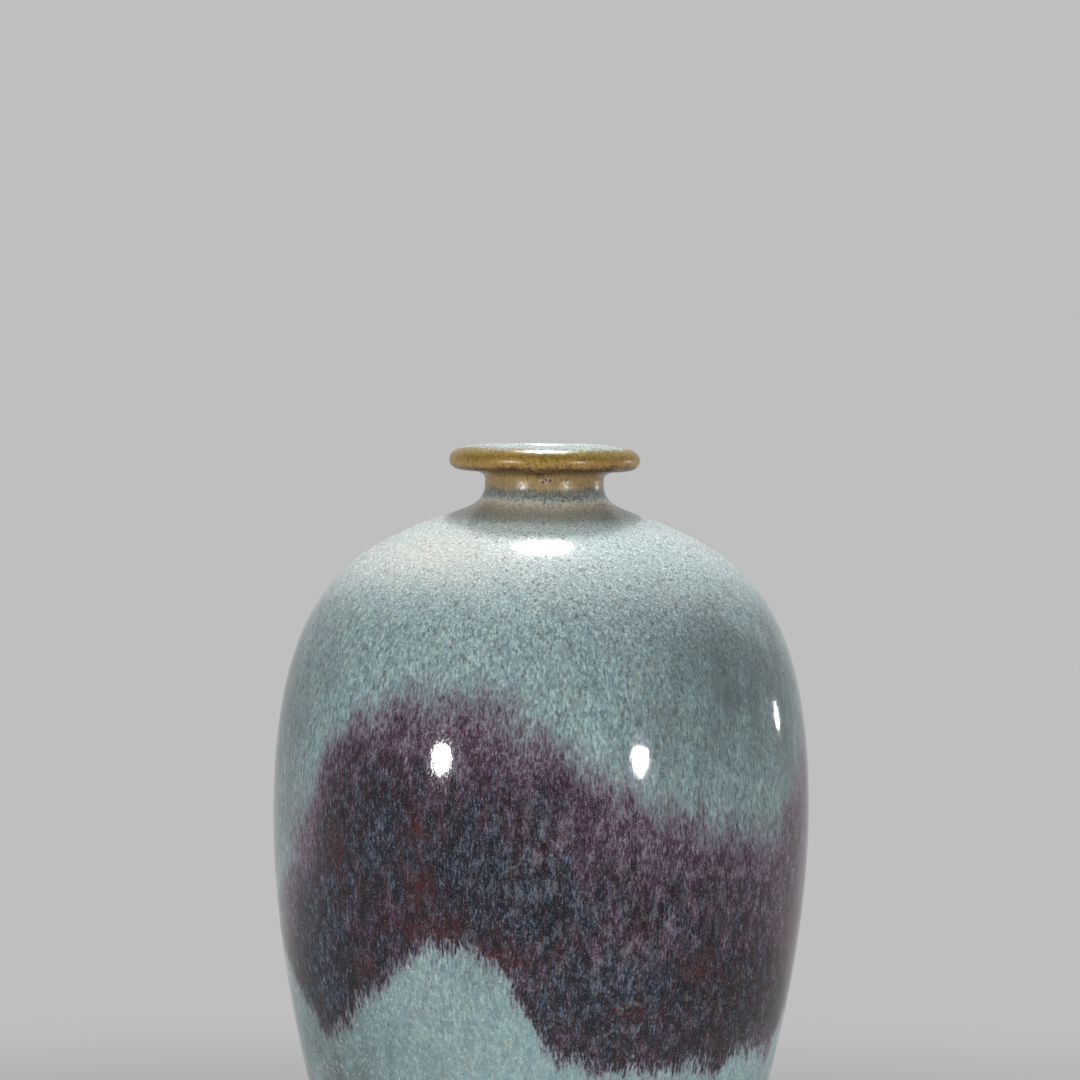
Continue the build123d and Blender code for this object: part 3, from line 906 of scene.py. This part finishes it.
# %% Colour of the outer coat
IRON_SPECKS = dict(cell=0.0026, dot=0.13, share=0.40)
# The white specks are painted glints: small sparkles of light on the glaze.
GLINT_SPECKS = dict(cell=0.0015, dot=0.16, share=0.16)
IRON_BLACK = tint(34, 32, 30)
GLINT_WHITE = tint(196, 198, 196)
outer_finish, tree, shader = new_finish("streaked_blue_glaze")
height = height_of(tree)
colour = runs_thin_places_and_shade(tree, blue_streaks(tree), height)
colour = dashes_and_grains(tree, colour, height, note(tree, "cream"))
colour = fine_grains(tree, copper_splash(tree, colour))
colour, thinness = lip_and_neck(tree, colour, height)
colour = burst_bubble(tree, colour)
colour = layer(tree, dots(tree, **IRON_SPECKS), colour, IRON_BLACK)
colour = wash(tree, colour, GLINT_WHITE, dots(tree, **GLINT_SPECKS), 0.55)

# %% Gloss and relief of the outer coat
FROSTED = (0.226, 0.250)
MATT_GRAIN = dict(size=0.0006, stretch=(1, 1, 0.7), shift=(0.9, 0.2, 0.4), detail=1.0)
PEEL = dict(size=0.0006, stretch=(1, 1, 0.5))
PEEL_DEPTH = 0.000034
matt_grain = soft_step(tree, speckle(tree, **MATT_GRAIN), 0.52, 0.70)
frosted = times(tree, soft_step(tree, height, *FROSTED), growing(tree, 0.05, 0.16, matt_grain))
duller = plus(tree, times(tree, thinness, 0.16), times(tree, matt_grain, 0.07))
paint(tree, shader, colour, plus(tree, 0.05, plus(tree, duller, frosted)))
shader.inputs["IOR"].default_value = 1.45
relief(tree, shader, speckle(tree, **PEEL), PEEL_DEPTH, growing(tree, 0.27, 0.7, thinness))
print("Nodes in the outer finish:", len(tree.nodes))
finished_piece(
    "outer_coat", coat, coat_along, outer_finish, "blue_glaze", "outer_glaze", "front_splash", "back_splash")

# %% [markdown]
# ## The inner coat
# Inside, the glaze was poured in and out again: an even coat from the crown of the lip, through the
# throat, down to the floor. From above one sees the lip and the throat, so it gets the same section
# treatment. It starts on the same circle as the outer coat and wears the same pale grains there.

# %% Knots and pulls of the inner clay, in millimetres
THROAT_TOP = Vector((14.4, 278.3))
THROAT_END = Vector((14.4, 265.3))
INNER_NECK_FOOT = Vector((31.25, 254.42))
INNER_BELLY = Vector((79.6, 164.9))
INNER_CORNER = Vector((48.02, 21.0))
INNER_FLOOR = Vector((0.0, 12.0))
INNER_SHOULDER_PULL = 29.4
INNER_OVER_BELLY_PULL = 70.9
INNER_UNDER_BELLY_PULL = 39.5
WALL_TO_CORNER = Vector((65.1, 68.5))
CORNER_TO_FLOOR = Vector((45.0, 12.5))
FLAT_OF_FLOOR = Vector((18.0, 12.0))

# %% Outline of the inner clay, from the crown down to the middle of the floor
INNER_LIP_STEPS = 14
INNER_FLARE_STEPS = 16
INNER_WALL_STEPS = 26
INNER_FLOOR_STEPS = 18
inner_lip = rounded(CROWN, Vector((THROAT_TOP.x, CROWN.y)), THROAT_TOP, INNER_LIP_STEPS)
inner_flare = interpolate_bezier(
    THROAT_END, THROAT_END - UP * FLARE_NECK_PULL,
    INNER_NECK_FOOT - SHOULDER_WAY * FLARE_SHOULDER_PULL, INNER_NECK_FOOT, INNER_FLARE_STEPS)
inner_shoulder = interpolate_bezier(
    INNER_NECK_FOOT, INNER_NECK_FOOT + SHOULDER_WAY * INNER_SHOULDER_PULL,
    INNER_BELLY + UP * INNER_OVER_BELLY_PULL, INNER_BELLY, INNER_WALL_STEPS)
inner_wall = interpolate_bezier(
    INNER_BELLY, INNER_BELLY - UP * INNER_UNDER_BELLY_PULL, WALL_TO_CORNER, INNER_CORNER, INNER_WALL_STEPS)
inner_floor = interpolate_bezier(
    INNER_CORNER, CORNER_TO_FLOOR, FLAT_OF_FLOOR, INNER_FLOOR, INNER_FLOOR_STEPS)
inner_clay = inner_lip + inner_flare + inner_shoulder[1:] + inner_wall[1:] + inner_floor[1:]
print("Inner outline points:", len(inner_clay))

# %% Push it in to the glaze's surface and spin it
INNER_GLAZE = 0.8
INNER_TURNS = 144
inner_surface = pushed(inner_clay, lambda point: INNER_GLAZE, INSIDE)
inner_surface[0] = CROWN + UP * LIP_GLAZE
inner_surface[-1] = INNER_FLOOR + UP * INNER_GLAZE
inner_shell, inner_along = spun_shell("inner coat", inner_surface, inner_clay, INNER_TURNS)

# %% Finish of the inner coat: the blue without the copper
INNER_SPECKS = dict(cell=0.0026, dot=0.16, share=0.32)
IN_THROAT = (0.2790, 0.2700)
THROAT_GREY = tint(112, 112, 98)
inner_finish, tree, shader = new_finish("poured_inner_glaze")
height = height_of(tree)
colour = dashes_and_grains(tree, blue_streaks(tree), height, 0.0)
colour = wash(tree, colour, THROAT_GREY, soft_step(tree, height, *IN_THROAT), 0.45)
colour = layer(tree, dots(tree, **INNER_SPECKS), colour, IRON_BLACK)
paint(tree, shader, colour, 0.2)
shader.inputs["IOR"].default_value = 1.5
relief(tree, shader, speckle(tree, size=0.0040), 0.0002, 0.5)
finished_piece("inner_coat", inner_shell, inner_along, inner_finish, "inner_glaze", "inner_glaze")

# %% [markdown]
# ## Bare clay, slip and wash
# The foot ring stays bare, because glaze would weld it to the kiln shelf. Its clay is iron-brown, with
# grog, dark and pale specks and a darker flush beside the glaze. The CAD solids have the right shape
# here, so they keep their meshes and get finishes only. The slip in the seams and the wash in the recess
# do too.

# %% Finish of the stoneware
TURNING = dict(size=0.0009, stretch=(0.1, 0.1, 1))
GROG = dict(size=0.0016, detail=3.0, roughness=0.7)
DARK_SPECKS = dict(cell=0.0022, dot=0.2, share=0.3)
PALE_SPECKS = dict(cell=0.0017, dot=0.2, share=0.2)
BESIDE_GLAZE = (0.004, 0.015)
CLAYS = (
    (0.36, tint(92, 66, 50)),
    (0.50, tint(134, 102, 78)),
    (0.64, tint(172, 140, 112)),
)
stoneware, tree, shader = new_finish("bare_stoneware")
turning = speckle(tree, **TURNING)
grog = speckle(tree, **GROG)
colour = shades(tree, plus(tree, times(tree, grog, 0.84), times(tree, turning, 0.16)), CLAYS)
colour = wash(tree, colour, tint(96, 52, 32), soft_step(tree, height_of(tree), *BESIDE_GLAZE), 0.55)
colour = layer(tree, dots(tree, **DARK_SPECKS), colour, tint(46, 30, 22))
colour = wash(tree, colour, tint(196, 172, 146), dots(tree, **PALE_SPECKS), 0.7)
paint(tree, shader, colour, 0.85)
relief(tree, shader, plus(tree, turning, grog), 0.0003, 0.6)

# %% Finishes of the slip and the wash
SLIPS = (
    (0.35, tint(112, 86, 62)),
    (0.65, tint(150, 122, 92)),
)
WASHES = (
    (0.35, tint(48, 30, 20)),
    (0.52, tint(74, 48, 32)),
    (0.66, tint(104, 72, 48)),
)
slip_finish, tree, shader = new_finish("luting_slip")
smeared = speckle(tree, size=0.0012, detail=3.0)
paint(tree, shader, shades(tree, smeared, SLIPS), 0.9)

wash_finish, tree, shader = new_finish("brown_foot_wash")
brushed = speckle(tree, size=0.004, detail=4.0, roughness=0.7)
paint(tree, shader, shades(tree, brushed, WASHES), 0.55)
relief(tree, shader, brushed, 0.0002, 0.5)

# %% Dress the CAD nodes that stay
DRESS = {
    "lower_body": stoneware,
    "upper_body": stoneware,
    "neck_and_lip": stoneware,
    "belly_seam_slip": slip_finish,
    "neck_seam_slip": slip_finish,
    "base_wash": wash_finish,
}
for node_name, finish in DRESS.items():
    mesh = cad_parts[node_name].data
    mesh.materials.clear()
    mesh.materials.append(finish)
print("Dressed CAD nodes:", ", ".join(DRESS))

# %% [markdown]
# ## Floor and sky
# A pale floor carries the vase's shadow. A backdrop could hide the horizon, but it would also shade the
# vase. Here the floor turns into a glow as bright as the sky further out, so that the two meet unseen.
# The sky that lights the vase is dim, so that the glaze keeps its colours. The camera and mirrored rays
# see a paler one: the Light Path node tells these rays apart.

# %% Sky
SKY_LIGHT = (0.32, 0.323, 0.326, 1.0)
SKY_SEEN = (0.52, 0.52, 0.52, 1.0)


def sky_colour(tree):
    """The sky's light, but a paler tone where the camera, a gloss or a glass looks at it."""
    path = tree.nodes.new("ShaderNodeLightPath")
    mirrored = plus(tree, path.outputs["Is Glossy Ray"], path.outputs["Is Transmission Ray"])
    seen = sum_of(tree, "MINIMUM", plus(tree, path.outputs["Is Camera Ray"], mirrored), 1.0)
    return layer(tree, seen, SKY_LIGHT, SKY_SEEN)


world = bpy.data.worlds.new("studio_sky")
world.use_nodes = True
tree = world.node_tree
tree.links.new(sky_colour(tree), tree.nodes["Background"].inputs["Color"])
bpy.context.scene.world = world

# %% Floor, and how far from the vase its glow begins and ends
FLOOR_RADIUS = 40.0
FLOOR_SIDES = 96
FLOOR_GLOW = (0.25, 0.75)
FLOOR_TONE = (0.55, 0.55, 0.545, 1.0)
disc = bmesh.new()
bmesh.ops.create_circle(disc, cap_ends=True, radius=FLOOR_RADIUS, segments=FLOOR_SIDES)
floor_mesh = bpy.data.meshes.new("studio_floor")
disc.to_mesh(floor_mesh)
disc.free()
floor = bpy.data.objects.new("studio_floor", floor_mesh)
bpy.context.scene.collection.objects.link(floor)

# %% Finish of the floor: plain near the vase, and one with the sky far out
floor_finish, tree, shader = new_finish("pale_floor")
paint(tree, shader, FLOOR_TONE, 0.9)
shader.inputs["Specular IOR Level"].default_value = 0.1
distance = tree.nodes.new("ShaderNodeVectorMath")
distance.operation = "LENGTH"
tree.links.new(places(tree), distance.inputs[0])
glow = tree.nodes.new("ShaderNodeEmission")
tree.links.new(sky_colour(tree), glow.inputs["Color"])
blend = tree.nodes.new("ShaderNodeMixShader")
tree.links.new(soft_step(tree, distance.outputs["Value"], *FLOOR_GLOW), blend.inputs[0])
tree.links.new(shader.outputs[0], blend.inputs[1])
tree.links.new(glow.outputs[0], blend.inputs[2])
tree.links.new(blend.outputs[0], tree.nodes["Material Output"].inputs["Surface"])
floor_mesh.materials.append(floor_finish)

# %% [markdown]
# ## Lamps
# Two soft boxes in front light the wall and leave the two bright spots that a glossy pot shows in a
# studio. One above and behind lights the shoulder and gives its highlight. A fill from above lights what
# faces up, and is hidden from glossy rays, so it adds no highlight. A narrow strip at the right, a
# little behind, draws the bright line along that rim.

# %% Helper for a soft box
LAMP_AIM = Vector((0, 0, 0.19))


def soft_box(name, azimuth, elevation, distance, width, tall, power, spread=180):
    """Area lamp that looks at the vase from a direction, in degrees from the front. Returns it."""
    data = bpy.data.lights.new(name, "AREA")
    data.shape = "ELLIPSE"
    data.size = width
    data.size_y = tall
    data.energy = power
    data.spread = math.radians(spread)
    lamp = bpy.data.objects.new(name, data)
    turn = math.radians(azimuth)
    rise = math.radians(elevation)
    away = Vector((math.sin(turn) * math.cos(rise), -math.cos(turn) * math.cos(rise), math.sin(rise)))
    lamp.location = LAMP_AIM + away * distance
    lamp.rotation_euler = away.to_track_quat("Z", "Y").to_euler()
    bpy.context.scene.collection.objects.link(lamp)
    return lamp


# %% The five lamps
soft_box("front_left_box", azimuth=-42.5, elevation=5.8, distance=2.0,
         width=0.26, tall=0.18, power=1.27, spread=50)
soft_box("front_right_box", azimuth=41.6, elevation=5.8, distance=2.0,
         width=0.24, tall=0.18, power=0.98, spread=50)
soft_box("top_back_box", azimuth=180, elevation=61, distance=1.3,
         width=0.17, tall=0.24, power=0.80, spread=40)
overhead_fill = soft_box("overhead_fill", azimuth=180, elevation=78, distance=1.6,
                         width=0.30, tall=0.30, power=6.0)
overhead_fill.visible_glossy = False
soft_box("right_rim_strip", azimuth=124, elevation=4, distance=1.8,
         width=0.03, tall=0.10, power=0.14, spread=50)
print("Lamps:", len(bpy.data.lights))

# %% [markdown]
# ## Camera
# The photograph looks at the vase from far off and nearly level with the lip, and leans by about half a
# degree. A long lens at some distance gives the same view.

# %% Camera at the photograph's viewing angle
CAMERA_DISTANCE = 1.6
CAMERA_ELEVATION = math.radians(2.5)
CAMERA_ROLL = math.radians(0.6)
CAMERA_AIM = Vector((-0.0012, 0, 0.2531))
CAMERA_LENS = 166.7
CAMERA_SENSOR = 36.0
camera_data = bpy.data.cameras.new("photo_camera")
camera_data.sensor_width = CAMERA_SENSOR
camera_data.lens = CAMERA_LENS
camera = bpy.data.objects.new("photo_camera", camera_data)
back = Vector((0, -math.cos(CAMERA_ELEVATION), math.sin(CAMERA_ELEVATION)))
facing = back.to_track_quat("Z", "Y").to_matrix().to_4x4()
camera.matrix_world = (
    Matrix.Translation(CAMERA_AIM + back * CAMERA_DISTANCE) @ facing @ Matrix.Rotation(CAMERA_ROLL, 4, "Z"))
bpy.context.scene.collection.objects.link(camera)
bpy.context.scene.camera = camera
bpy.context.scene.view_settings.view_transform = "Standard"
